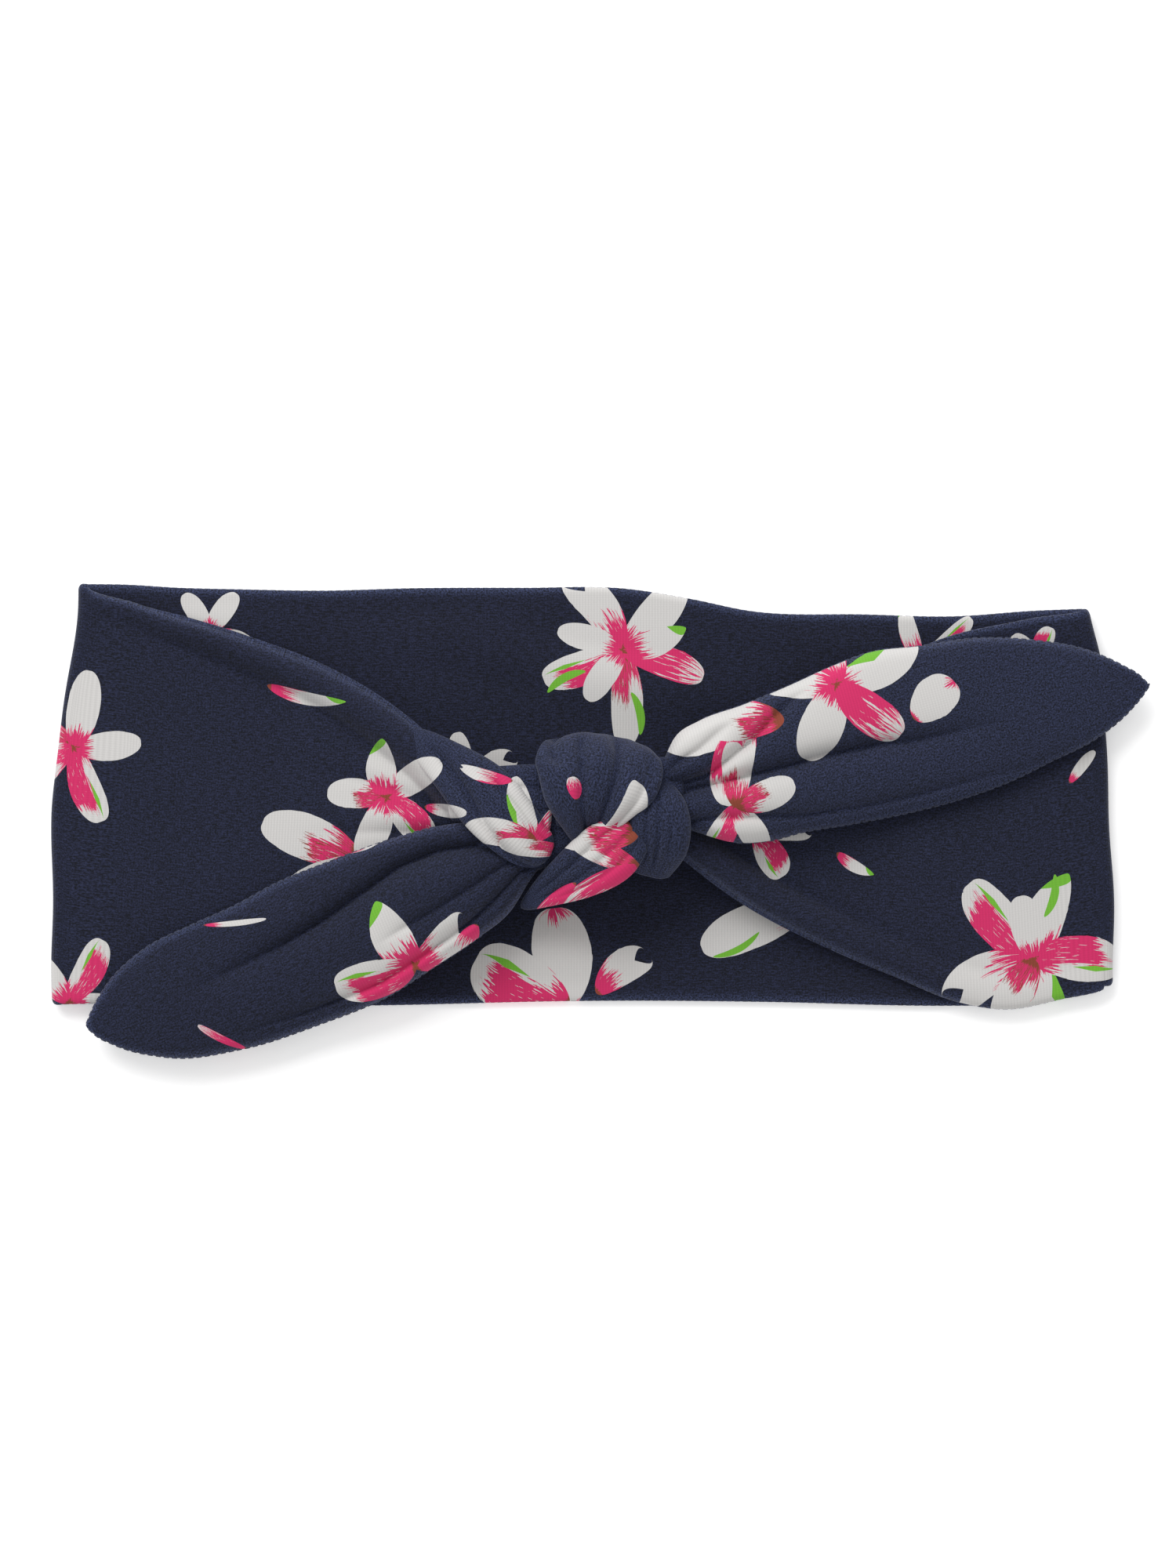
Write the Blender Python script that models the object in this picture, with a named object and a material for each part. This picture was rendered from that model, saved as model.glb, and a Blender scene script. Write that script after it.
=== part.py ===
"""Knotted headband: a doubled strip of printed cotton jersey, tied once at the front.

The band lies flat on its back, knot up: X runs from side fold to side fold, Y across the band and Z up
from the surface that it lies on. The origin is the middle of the underside of the band's back.
Two long cut pieces, an outer cloth and a lining, are sewn together along their edges and turned. They run
from one pointed tail through the knot, round the left fold, across the back, round the right fold and
through the knot again to the other tail. Each stretch of them is an object of its own here.
"""

import math

import bmesh
import bpy
from mathutils import Vector

MM = 0.001

# Cloth
PLY = 0.7 * MM  # one layer of jersey, lying loose
PLY_GAP = 0.3 * MM  # air between the outer cloth and the lining
LOOP_GAP = 0.5 * MM  # between the back of the band and its front at the side folds
CLEARANCE = 0.3 * MM  # between two pieces that touch
SEAM_RADIUS = 0.35 * MM  # the bead of thread and turned edge along a seam

# Band, measured flat
FLAT_LENGTH = 226 * MM  # from side fold to side fold, along the lower edge
BAND_WIDTH = 90 * MM
LEFT_LEAN = 5.5 * MM  # how far the left fold's top end leans inwards
RIGHT_LEAN = 6.0 * MM
RIGHT_TOP_DROP = 5.5 * MM  # the right half is a little narrower, from both edges
RIGHT_BOTTOM_RISE = 4.0 * MM
FOLD_LEG = 6 * MM  # flat cloth on each side of a fold's bend

# Front strips, which narrow from the folds to the knot
LEFT_MOUTH = ((-23.0 * MM, -16.5 * MM), (-31.0 * MM, 3.0 * MM))  # lower and upper corner at the knot
RIGHT_MOUTH = ((22.0 * MM, -13.5 * MM), (21.0 * MM, 4.5 * MM))
# How each edge curves on its way, lower edge first: two shares of its run, each with a share of the band's
# width as Y
LEFT_PULLS = ((0.30, -0.49, 0.70, -0.34), (0.20, 0.42, 0.80, 0.30))
RIGHT_PULLS = ((0.30, -0.56, 0.55, -0.40), (0.25, 0.44, 0.65, 0.33))
STRIP_RISE = 4.8 * MM  # how much higher a strip is at the knot than at its fold
RISE_RUN = 44 * MM  # how far from the knot the strips start to rise, and the tails come down to rest
ROLL_HEIGHT = 3.2 * MM  # the loose roll that the outer edge of each strip curls into
ROLL_SHARE = 0.3  # share of the strip's width in the roll

# Knot
KNOT_AIR = 2.3 * MM  # from the strips' ends up to the middle of the strand inside the knot

# Tails
LEFT_ROOT = (-27.5 * MM, -15.7 * MM, 1.0 * MM)  # where the left tail bends as it lifts; z from KNOT_BASE
LEFT_LENGTH = 86.4 * MM
LEFT_WIDTH = 34.3 * MM
LEFT_HEADING = math.radians(203.5)
RIGHT_ROOT = (26.0 * MM, -1.0 * MM, 2.5 * MM)
RIGHT_LENGTH = 97.6 * MM
RIGHT_WIDTH = 35.5 * MM
RIGHT_HEADING = math.radians(15.3)
TAIL_PUFF = 1.5 * MM  # how far the gathered root stands out on each side
TAIL_AIR = 1.55 * MM  # under a tail where it lies on the band

# Heights of the stacked layers, from the surface up
LINING_BACK = PLY + PLY_GAP
BACK_TOP = LINING_BACK + PLY
LINING_FRONT = BACK_TOP + LOOP_GAP
STACK = LINING_FRONT + 2 * PLY + PLY_GAP
KNOT_BASE = STACK + STRIP_RISE + KNOT_AIR
TAIL_REST = STACK + TAIL_AIR + PLY + PLY_GAP / 2  # the middle between a resting tail's two cloths

NAVY = (0.020, 0.028, 0.075)
THREAD = (0.030, 0.038, 0.090)


def smooth(low, high, x):
    t = min(1.0, max(0.0, (x - low) / (high - low)))
    return t * t * (3 - 2 * t)


def mix(a, b, t):
    return a + (b - a) * t


def bezier(points, t):
    """A point on the cubic curve with these four control points."""
    a, b, c, d = (Vector(p) for p in points)
    s = 1 - t
    return a * s**3 + b * (3 * s * s * t) + c * (3 * s * t * t) + d * t**3


def along(stations, t):
    """A smooth curve through rows of numbers, the first of which is the place, running from 0 to 1."""
    last = len(stations) - 2
    i = next((k for k in range(last) if t < stations[k + 1][0]), last)
    before, a, b, after = (stations[min(max(k, 0), last + 1)] for k in (i - 1, i, i + 1, i + 2))
    span = b[0] - a[0]
    x = (t - a[0]) / span
    values = []
    for k in range(1, len(a)):
        out = (b[k] - before[k]) / max(b[0] - before[0], 1e-9) * span
        into = (after[k] - a[k]) / max(after[0] - a[0], 1e-9) * span
        values.append(
            a[k] * (2 * x**3 - 3 * x**2 + 1)
            + out * (x**3 - 2 * x**2 + x)
            + b[k] * (3 * x**2 - 2 * x**3)
            + into * (x**3 - x**2)
        )
    return values


def material(name, colour, roughness):
    made = bpy.data.materials.new(name)
    made.use_nodes = True
    shader = made.node_tree.nodes["Principled BSDF"]
    shader.inputs["Base Color"].default_value = (*colour, 1)
    shader.inputs["Roughness"].default_value = roughness
    shader.inputs["Metallic"].default_value = 0
    return made


def place(name, data, finish):
    made = bpy.data.objects.new(name, data)
    made.data.materials.append(finish)
    bpy.context.scene.collection.objects.link(made)
    return made


def cloth(name, surface, columns, rows, finish):
    """One layer of jersey: surface(u, v) is its outer side, with u and v from 0 to 1."""
    bm = bmesh.new()
    bmesh.ops.create_grid(bm, x_segments=columns, y_segments=rows, size=0.5)
    for vertex in bm.verts:
        vertex.co = surface(vertex.co.x + 0.5, vertex.co.y + 0.5)
    mesh = bpy.data.meshes.new(name)
    bm.to_mesh(mesh)
    bm.free()
    mesh.shade_smooth()
    made = place(name, mesh, finish)
    layer = made.modifiers.new("ply", "SOLIDIFY")
    layer.thickness = PLY
    layer.offset = -1
    return made


def bead(name, points, finish):
    """A seam's bead of thread and turned edge, along these points."""
    curve = bpy.data.curves.new(name, "CURVE")
    curve.dimensions = "3D"
    curve.bevel_depth = SEAM_RADIUS
    curve.bevel_resolution = 1
    curve.use_fill_caps = True
    spline = curve.splines.new("POLY")
    spline.points.add(len(points) - 1)
    for point, place_of in zip(spline.points, points):
        point.co = (*place_of, 1)
    return place(name, curve, finish)


# Outline of the band


def left_fold_x(y):
    """The left fold's bend, as X at this Y."""
    return -FLAT_LENGTH / 2 + LEFT_LEAN * (y / BAND_WIDTH + 0.5)


def right_fold_x(y):
    return FLAT_LENGTH / 2 - RIGHT_LEAN * (y / BAND_WIDTH + 0.5)


def top_y(x):
    """The band's upper edge: level on the left, and lower past the knot."""
    return BAND_WIDTH / 2 - RIGHT_TOP_DROP * smooth(0.07 * FLAT_LENGTH, 0.2 * FLAT_LENGTH, x)


def bottom_y(x):
    """The band's lower edge: level, and higher at the right fold."""
    return -BAND_WIDTH / 2 + RIGHT_BOTTOM_RISE * smooth(0.39 * FLAT_LENGTH, 0.5 * FLAT_LENGTH, x)


FOLD_REACH = STACK / 2 + FOLD_LEG  # from a fold's outermost line to the ends of its legs


def back_surface(height):
    def surface(u, v):
        middle = mix(bottom_y(0), top_y(0), v)
        left = left_fold_x(middle) + FOLD_REACH + CLEARANCE
        right = right_fold_x(middle) - FOLD_REACH - CLEARANCE
        x = mix(left, right, u)
        return Vector((x, mix(bottom_y(x), top_y(x), v), height))

    return surface


def fold_surface(side, outer_radius):
    """Round a side fold, from its lower leg to its upper leg on the left, and down again on the right."""
    bend = math.pi * outer_radius
    whole = 2 * FOLD_LEG + bend

    def surface(u, v):
        walked = (u if side < 0 else 1 - u) * whole
        if walked < FOLD_LEG:
            inwards, height = FOLD_LEG - walked, -outer_radius
        elif walked < FOLD_LEG + bend:
            angle = (walked - FOLD_LEG) / outer_radius
            inwards, height = -outer_radius * math.sin(angle), -outer_radius * math.cos(angle)
        else:
            inwards, height = walked - FOLD_LEG - bend, outer_radius
        edge = side * FLAT_LENGTH / 2
        y = mix(bottom_y(edge), top_y(edge), v)
        fold_x = left_fold_x(y) if side < 0 else right_fold_x(y)
        return Vector((fold_x - side * (STACK / 2 + inwards), y, STACK / 2 + height))

    return surface


def make_back(jersey, thread):
    """The back of the band, with its two side folds."""
    cloth("back_outer", back_surface(PLY), 24, 1, jersey)
    cloth("back_lining", back_surface(BACK_TOP), 24, 1, jersey)
    for side, name in ((-1, "left"), (1, "right")):
        cloth(f"{name}_fold_outer", fold_surface(side, STACK / 2), 18, 2, jersey)
        cloth(f"{name}_fold_lining", fold_surface(side, STACK / 2 - PLY - PLY_GAP), 18, 2, jersey)
    middles = [
        ("back", back_surface(PLY + PLY_GAP / 2)),
        ("left_fold", fold_surface(-1, STACK / 2 - PLY - PLY_GAP / 2)),
        ("right_fold", fold_surface(1, STACK / 2 - PLY - PLY_GAP / 2)),
    ]
    for name, middle in middles:
        for edge, v in (("top", 1), ("bottom", 0)):
            outwards = Vector((0, (SEAM_RADIUS + CLEARANCE) * (1 if v else -1), 0))
            bead(f"{name}_{edge}_seam", [middle(k / 24, v) + outwards for k in range(25)], thread)


# Front strips


def strip_edges(side):
    """Control points of a strip's lower and upper edges, from the fold to the knot."""
    mouth = LEFT_MOUTH if side < 0 else RIGHT_MOUTH
    fold_x = left_fold_x if side < 0 else right_fold_x
    corners = []
    for edge in (bottom_y, top_y):
        y = edge(side * FLAT_LENGTH / 2)
        corners.append((fold_x(y) - side * (FOLD_REACH + CLEARANCE), y))
    pulls = LEFT_PULLS if side < 0 else RIGHT_PULLS
    edges = []
    for (x, y), (near, near_y, far, far_y), end in zip(corners, pulls, mouth):
        first = (mix(x, end[0], near), near_y * BAND_WIDTH)
        second = (mix(x, end[0], far), far_y * BAND_WIDTH)
        edges.append(((x, y), first, second, end))
    return edges


def strip_height(side, u, v, from_knot):
    """Top of a strip above the surface: u runs from its fold to the knot, and v from its lower edge."""
    from_roll = v if side > 0 else 1 - v
    roll = math.sin(math.pi * min(1.0, from_roll / ROLL_SHARE)) * smooth(0.05, 0.7, u)
    rise = STRIP_RISE * (1 - smooth(0, RISE_RUN, from_knot))
    return STACK + rise + ROLL_HEIGHT * roll * (1 - smooth(0.72, 0.97, u))


def strip_surface(side, below):
    """The outer side of a strip's outer cloth, or of its lining with below set to the step between them."""
    lower, upper = strip_edges(side)

    def surface(u, v):
        out = u if side < 0 else 1 - u
        low, high = (bezier([(*p, 0) for p in edge], out) for edge in (lower, upper))
        spot = low.lerp(high, v)
        from_knot = side * (spot.x - mix(lower[3][0], upper[3][0], v))
        return Vector((spot.x, spot.y, strip_height(side, out, v, from_knot) - below))

    return surface


def make_strips(jersey, thread):
    """The two halves of the front, doubled like the back."""
    for side, name in ((-1, "left"), (1, "right")):
        cloth(f"{name}_strip_outer", strip_surface(side, 0), 16, 12, jersey)
        cloth(f"{name}_strip_lining", strip_surface(side, PLY + PLY_GAP), 16, 12, jersey)
        reach = SEAM_RADIUS + CLEARANCE
        for edge_name, v in (("top", 1), ("bottom", 0)):
            middle = strip_surface(side, PLY + PLY_GAP / 2)
            route = []
            for k in range(17):
                ahead = middle(min(1, (k + 1) / 16), v) - middle(max(0, (k - 1) / 16), v)
                outwards = Vector((-ahead.y, ahead.x, 0)).normalized() * (1 if v else -1)
                route.append(middle(k / 16, v) + outwards * reach)
            bead(f"{name}_strip_{edge_name}_seam", route, thread)


# Knot: each strand is a gathered length of the doubled cloth, cut back to clear those inside it.
# A station is a place along the strand, its middle, and its half width and half thickness, in millimetres.

STRANDS = {
    "knot_core": [
        (0.00, 20.5, -4.5, 0.0, 7.0, 2.2),
        (0.28, 8.0, -3.0, 0.3, 8.5, 3.8),
        (0.60, -6.0, -6.0, 0.3, 8.5, 3.8),
        (0.82, -16.0, -10.5, 0.9, 8.3, 2.9),
        (1.00, -24.3, -14.3, 1.0, 8.0, 2.0),
    ],
    "knot_right_exit": [
        (0.00, -6.0, 1.5, 4.5, 8.0, 2.0),
        (0.50, 8.0, -1.8, 5.4, 9.5, 2.4),
        (1.00, 21.6, -2.0, 2.5, 9.5, 2.1),
    ],
    "knot_left_entry": [
        (0.00, -28.5, -2.0, -0.3, 7.5, 1.8),
        (0.50, -20.0, -3.0, 2.2, 8.5, 2.2),
        (1.00, -9.0, -2.0, 4.0, 8.0, 2.2),
    ],
    "knot_wrap": [
        (0.00, 3.4, 12.2, -1.0, 10.0, 2.0),
        (0.22, 2.8, 10.4, 5.0, 13.0, 2.7),
        (0.55, 1.8, 2.5, 9.8, 14.2, 3.0),
        (0.80, 0.2, -4.5, 8.8, 13.0, 2.7),
        (1.00, -1.5, -9.0, 4.5, 10.5, 1.8),
    ],
    "knot_left_turn": [
        (0.00, -32.0, 10.0, 0.8, 3.2, 2.0),
        (0.25, -28.2, 4.3, 2.4, 4.0, 2.6),
        (0.55, -22.8, -3.2, 5.6, 4.3, 2.8),
        (0.80, -18.5, -9.5, 6.2, 4.2, 2.8),
        (1.00, -12.0, -13.5, 5.0, 3.5, 2.0),
    ],
    "knot_lower_wrap": [
        (0.00, 14.5, 6.0, 9.1, 5.0, 2.0),
        (0.30, 16.5, -2.0, 9.2, 6.3, 2.6),
        (0.65, 15.5, -11.0, 7.2, 6.3, 2.6),
        (1.00, 12.5, -17.5, 0.5, 4.6, 1.8),
    ],
    "knot_tuck": [
        (0.00, 8.0, -7.5, 8.2, 5.0, 2.2),
        (0.35, 2.0, -12.0, 8.4, 6.6, 2.7),
        (0.70, -6.0, -18.0, 4.2, 5.0, 2.3),
        (1.00, -13.0, -23.3, -0.8, 1.4, 0.9),
    ],
}
SIDES = 14
RINGS = 14


def strand_mesh(name, grow):
    """A strand's closed surface, swollen by grow on all sides."""
    stations = STRANDS[name]
    run = Vector(stations[-1][1:4]) - Vector(stations[0][1:4])
    level = Vector((-run.y, run.x, 0)).normalized()
    rings = []
    bm = bmesh.new()
    for k in range(RINGS + 1):
        t = k / RINGS
        x, y, z, width, thickness = (value * MM for value in along(stations, t))
        ahead = Vector(along(stations, min(1, t + 0.02))[:3]) - Vector(along(stations, max(0, t - 0.02))[:3])
        ahead.normalize()
        across = (level - ahead * level.dot(ahead)).normalized()
        out = ahead.cross(across)
        middle = Vector((x, y, z + KNOT_BASE)) + ahead * (grow * (2 * t - 1))
        ring = []
        for side in range(SIDES):
            angle = 2 * math.pi * side / SIDES
            reach = across * math.cos(angle) * (width + grow) + out * math.sin(angle) * (thickness + grow)
            ring.append(bm.verts.new(middle + reach))
        rings.append(ring)
    for a, b in zip(rings, rings[1:]):
        for side in range(SIDES):
            after = (side + 1) % SIDES
            bm.faces.new((a[side], a[after], b[after], b[side]))
    bm.faces.new(reversed(rings[0]))
    bm.faces.new(rings[-1])
    bmesh.ops.triangulate(bm, faces=bm.faces, ngon_method="EAR_CLIP")
    mesh = bpy.data.meshes.new(name)
    bm.to_mesh(mesh)
    bm.free()
    mesh.shade_smooth()
    return mesh


def make_knot(jersey):
    buried = []
    for name in STRANDS:
        strand = place(name, strand_mesh(name, 0), jersey)
        for inner in buried:
            cut = strand.modifiers.new("clear of " + inner.name, "BOOLEAN")
            cut.operation = "DIFFERENCE"
            cut.solver = "EXACT"
            cut.object = inner
        cutter = place(name + "_clearance", strand_mesh(name, CLEARANCE * 1.2), jersey)
        cutter.hide_render = True
        cutter.display_type = "WIRE"
        buried.append(cutter)


# Tails: a leaf of the two cloths, seamed along its edge. A station is a share of the length, then the
# leaf's two edges as shares of the width, measured to the left of the heading.

LEFT_LEAF = [
    (0.00, -0.17, 0.42),
    (0.15, -0.28, 0.57),
    (0.33, -0.34, 0.67),
    (0.52, -0.32, 0.66),
    (0.70, -0.24, 0.54),
    (0.88, -0.12, 0.35),
    (0.96, -0.06, 0.19),
    (1.00, -0.02, 0.04),
]
RIGHT_LEAF = [
    (0.00, -0.32, 0.37),
    (0.14, -0.33, 0.50),
    (0.38, -0.38, 0.62),
    (0.58, -0.36, 0.56),
    (0.78, -0.28, 0.40),
    (0.90, -0.19, 0.24),
    (0.97, -0.10, 0.10),
    (1.00, -0.01, 0.04),
]


class Tail:
    def __init__(self, root, heading, length, width, leaf):
        self.hinge = Vector((root[0], root[1], KNOT_BASE + root[2]))
        self.ahead = Vector((math.cos(heading), math.sin(heading), 0))
        self.left = Vector((-self.ahead.y, self.ahead.x, 0))
        self.length = length
        self.width = width
        self.leaf = leaf

    def spot(self, s, v, lift):
        """A point at s along the tail and v across it, this far above its middle."""
        right, left = (edge * self.width for edge in along(self.leaf, s))
        level = mix(self.hinge.z, TAIL_REST, smooth(0, RISE_RUN, s * self.length))
        flat = self.hinge + self.ahead * (s * self.length) + self.left * mix(right, left, v)
        return Vector((flat.x, flat.y, level + lift))

    def puff(self, s, v):
        return TAIL_PUFF * (1 - smooth(0, 0.6, s)) * (1 - (2 * v - 1) ** 2)

    def face(self, s, v):
        return self.spot(s, v, PLY_GAP / 2 + PLY + self.puff(s, v))

    def back(self, s, v):
        return self.spot(s, 1 - v, -PLY_GAP / 2 - PLY - self.puff(s, v))

    def seam(self, steps):
        """Round the leaf's edge, from the root along its right side to the tip and back along its left."""
        reach = SEAM_RADIUS + CLEARANCE
        route = [(k / steps, 0) for k in range(steps + 1)] + [(1 - k / steps, 1) for k in range(steps + 1)]
        edge = [self.spot(s, v, 0) for s, v in route]
        points = []
        for k, (s, v) in enumerate(route):
            walk = edge[min(k + 1, len(edge) - 1)] - edge[max(k - 1, 0)]
            outwards = Vector((walk.y, -walk.x, 0)).normalized()
            points.append(edge[k] + outwards * reach)
        return points


def make_tails(jersey, thread):
    left = Tail(LEFT_ROOT, LEFT_HEADING, LEFT_LENGTH, LEFT_WIDTH, LEFT_LEAF)
    right = Tail(RIGHT_ROOT, RIGHT_HEADING, RIGHT_LENGTH, RIGHT_WIDTH, RIGHT_LEAF)
    for name, tail in (("left", left), ("right", right)):
        cloth(f"{name}_tail_face", tail.face, 20, 8, jersey)
        cloth(f"{name}_tail_back", tail.back, 20, 8, jersey)
        bead(f"{name}_tail_seam", tail.seam(20), thread)


def main():
    for old in list(bpy.data.objects):
        bpy.data.objects.remove(old)
    jersey = material("printed cotton jersey", NAVY, 0.9)
    thread = material("seam thread", THREAD, 0.7)
    make_back(jersey, thread)
    make_strips(jersey, thread)
    make_knot(jersey)
    make_tails(jersey, thread)


main()
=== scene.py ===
import math

import bmesh
import bpy
import numpy as np
from mathutils import Matrix, Vector


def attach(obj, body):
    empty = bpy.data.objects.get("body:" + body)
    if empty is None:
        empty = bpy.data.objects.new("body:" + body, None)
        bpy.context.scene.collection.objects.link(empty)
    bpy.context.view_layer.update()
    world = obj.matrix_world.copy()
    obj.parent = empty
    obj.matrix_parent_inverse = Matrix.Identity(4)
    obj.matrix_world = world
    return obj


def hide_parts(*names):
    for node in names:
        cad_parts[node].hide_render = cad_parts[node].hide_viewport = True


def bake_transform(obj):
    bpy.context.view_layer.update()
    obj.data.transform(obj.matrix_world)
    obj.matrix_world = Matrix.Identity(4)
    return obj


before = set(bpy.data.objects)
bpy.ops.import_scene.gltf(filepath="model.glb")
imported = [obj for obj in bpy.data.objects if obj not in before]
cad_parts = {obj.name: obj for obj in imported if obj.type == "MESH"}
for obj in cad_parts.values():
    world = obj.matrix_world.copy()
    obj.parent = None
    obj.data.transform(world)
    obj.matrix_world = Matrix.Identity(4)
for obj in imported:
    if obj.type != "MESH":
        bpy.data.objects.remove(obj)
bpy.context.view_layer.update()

# ---------------------------------------------------------------------------------------------------------
# Camera. It looks straight down at the band from 1.5 m, as over a product table, with the band's length from
# side to side. The lens takes in 252 mm from side to side and 336 mm from bottom to top.

MM = 0.001
SENSOR = 36
STAND_OFF = 1500
VIEW_HEIGHT = 336
camera_data = bpy.data.cameras.new("camera")
camera = bpy.data.objects.new("camera", camera_data)
bpy.context.scene.collection.objects.link(camera)
camera_data.sensor_fit = "VERTICAL"
camera_data.sensor_height = SENSOR
camera_data.lens = SENSOR * STAND_OFF / VIEW_HEIGHT
camera_data.clip_end = 10
camera.location = (0.3 * MM, 2.2 * MM, STAND_OFF * MM)
bpy.context.scene.camera = camera
bpy.context.scene.view_settings.view_transform = "Standard"

# ---------------------------------------------------------------------------------------------------------
# The back of the band: the outer cloth and the lining, sewn along both long edges and turned. The lining is
# the side that touches the hair, and what shows behind the knot. Both go round the two side folds. They are
# cut, as the whole band is, from single jersey of cotton with a little elastane, dyed navy and printed.

PLY = 0.7  # thickness of one cloth
PLY_GAP = 0.3  # air between the outer cloth and the lining
LOOP_GAP = 0.5  # air between the back and the front at the side folds
STACK = 4 * PLY + 2 * PLY_GAP + LOOP_GAP  # all four layers, where the band lies flat
WALE = 0.62  # between the knit's ribs; real ones are about 0.4 mm, which is too fine to show
COURSE = WALE * 0.8  # between its rows of loops


def linear(code):
    """The linear colour of an sRGB hex code."""
    shares = [int(code[k : k + 2], 16) / 255 for k in (1, 3, 5)]
    return (*[c / 12.92 if c <= 0.04045 else ((c + 0.055) / 1.055) ** 2.4 for c in shares], 1)


def smooth(low, high, x):
    """From 0 at low to 1 at high, level at both."""
    t = np.clip((np.asarray(x, float) - low) / (high - low), 0, 1)
    return t * t * (3 - 2 * t)


def through(stations, at):
    """A smooth curve through rows of numbers, each row's first being its place along the curve."""
    table = np.array(stations, float)
    place, values = table[:, 0], table[:, 1:]
    at = np.asarray(at, float)
    slope = np.gradient(values, place, axis=0)
    i = np.clip(np.searchsorted(place, at, side="right") - 1, 0, len(place) - 2)
    span = (place[i + 1] - place[i])[..., None]
    t = np.clip((at - place[i]) / (place[i + 1] - place[i]), 0, 1)[..., None]
    return (
        values[i] * (2 * t**3 - 3 * t**2 + 1)
        + slope[i] * span * (t**3 - 2 * t**2 + t)
        + values[i + 1] * (3 * t**2 - 2 * t**3)
        + slope[i + 1] * span * (t**3 - t**2)
    )


# How each kind of petal is drawn: how blunt its tip is (0.3 blunt, 1 pointed), its bend, its notch, how far
# the pink brush strokes run up from its base, where its pink lobe lies and how big it is, the code for its
# green, and its brown. The codes are 1 for a green tip, 2 for a green crescent round the lobe, 3 for one
# green edge, 4 for a pink far end and 5 for green all over.
PETAL_KINDS = {
    "plain": (0.45, 0.02, 0.0, 0.28, 0.0, 0.0, 0.0, 0.3),
    "tipped": (0.72, 0.06, 0.0, 0.36, 0.0, 0.0, 1.0, 0.4),
    "edged": (0.50, -0.05, 0.0, 0.24, 0.0, 0.0, 3.0, 0.2),
    "lobed": (0.38, 0.04, 0.0, 0.30, 0.22, 0.62, 2.0, 0.4),
    "brown": (0.42, -0.03, 0.0, 0.40, 0.50, 0.34, 0.0, 1.0),
    "notched": (0.30, 0.08, 1.0, 0.42, 0.0, 0.0, 0.0, 0.4),
    "pinkish": (0.50, 0.05, 0.3, 0.55, 0.0, 0.0, 0.0, 0.2),
    "pink": (0.40, 0.03, 0.0, 0.95, 0.0, 0.0, 0.0, 0.3),
    "tail": (0.40, 0.03, 0.0, 0.08, 0.0, 0.0, 4.0, 0.2),
    "leaf": (0.55, 0.10, 0.0, 0.0, 0.0, 0.0, 5.0, 0.0),
    "curled": (0.32, 0.17, 0.0, 0.10, 0.0, 0.0, 0.0, 0.2),
}
LAYERS = 3  # how many petals may be printed over each other at one place
HEART = 1.06  # petals are this much longer than their rows say, and meet at the flower's heart
NARROW = 0.55  # how a petal widens from its base
MARGIN = 1.6  # faces this close to a petal carry it too, so that its outline is never cut
STROKE_STEP = 0.37  # moves the brush strokes on from one petal to the next


def print_petals(mesh, petals):
    """Tells each face which petals are printed on it, and where its corners lie on each of them. A petal is
    (x and y of its base, x and y of its tip, half width, kind). A half width below 0 flips it."""
    faces = len(mesh.polygons)
    points = np.empty(len(mesh.vertices) * 3)
    mesh.vertices.foreach_get("co", points)
    points = points.reshape(-1, 3)[:, :2] / MM
    corner_vertex = np.empty(len(mesh.loops), int)
    mesh.loops.foreach_get("vertex_index", corner_vertex)
    corner_face = np.repeat(np.arange(faces), [p.loop_total for p in mesh.polygons])
    corners = points[corner_vertex]
    middle = np.array([np.bincount(corner_face, corners[:, k], faces) for k in (0, 1)]).T
    middle /= np.bincount(corner_face, minlength=faces)[:, None]
    shown = np.full((max(len(petals), LAYERS), faces), -99.0)  # far outside every petal
    drawn = []
    for k, (x0, y0, x1, y1, half, kind) in enumerate(petals):
        blunt, bend, notch, reach, lobe, size, green, brown = PETAL_KINDS[kind]
        run = np.array((x1 - x0, y1 - y0)) * HEART
        base = np.array((x1, y1)) - run
        length = np.hypot(*run)
        along, across = run / length, np.array((-run[1], run[0])) / length
        peak = (NARROW + blunt) ** (NARROW + blunt) / (NARROW**NARROW * blunt**blunt)
        side = 1 if half > 0 else -1
        width = abs(half) / length * peak
        strokes = (k * STROKE_STEP) % 1
        petal_form = (width, blunt, bend * side, reach)
        petal_ink = (lobe * side, size, green + strokes * 0.5, brown)
        drawn.append((base, along, across, length, notch, petal_form, petal_ink))
        p = (middle - base) @ along / length
        inside = np.clip(p, 0.001, 0.999)
        q = (middle - base) @ across / length - bend * side * 4 * inside * (1 - inside)
        room = width * inside**NARROW * (1 - inside) ** blunt - np.abs(q)
        shown[k] = np.minimum(room, 0.5 - np.abs(p - 0.5)) * length
    top = np.sort(np.argsort(-shown, axis=0)[:LAYERS], axis=0)
    for layer in range(LAYERS):
        chosen = top[layer]
        seen = (shown[chosen, np.arange(faces)] > -MARGIN)[corner_face]
        which = np.minimum(chosen, max(len(petals) - 1, 0))[corner_face]
        place = np.zeros((len(corners), 3))
        place[:, 0] = -1
        form, ink = np.zeros((len(corners), 4)), np.zeros((len(corners), 4))
        for k, (base, along, across, length, notch, petal_form, petal_ink) in enumerate(drawn):
            mine = seen & (which == k)
            place[mine, 0] = (corners[mine] - base) @ along / length
            place[mine, 1] = (corners[mine] - base) @ across / length
            place[mine, 2] = notch
            form[mine] = petal_form
            ink[mine] = petal_ink
        for suffix, kind, field, values in (
            ("", "FLOAT_VECTOR", "vector", place),
            ("_form", "FLOAT_COLOR", "color", form),
            ("_ink", "FLOAT_COLOR", "color", ink),
        ):
            attribute = mesh.attributes.new(f"petal_{layer}{suffix}", kind, "CORNER")
            attribute.data.foreach_set(field, values.ravel())


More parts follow.
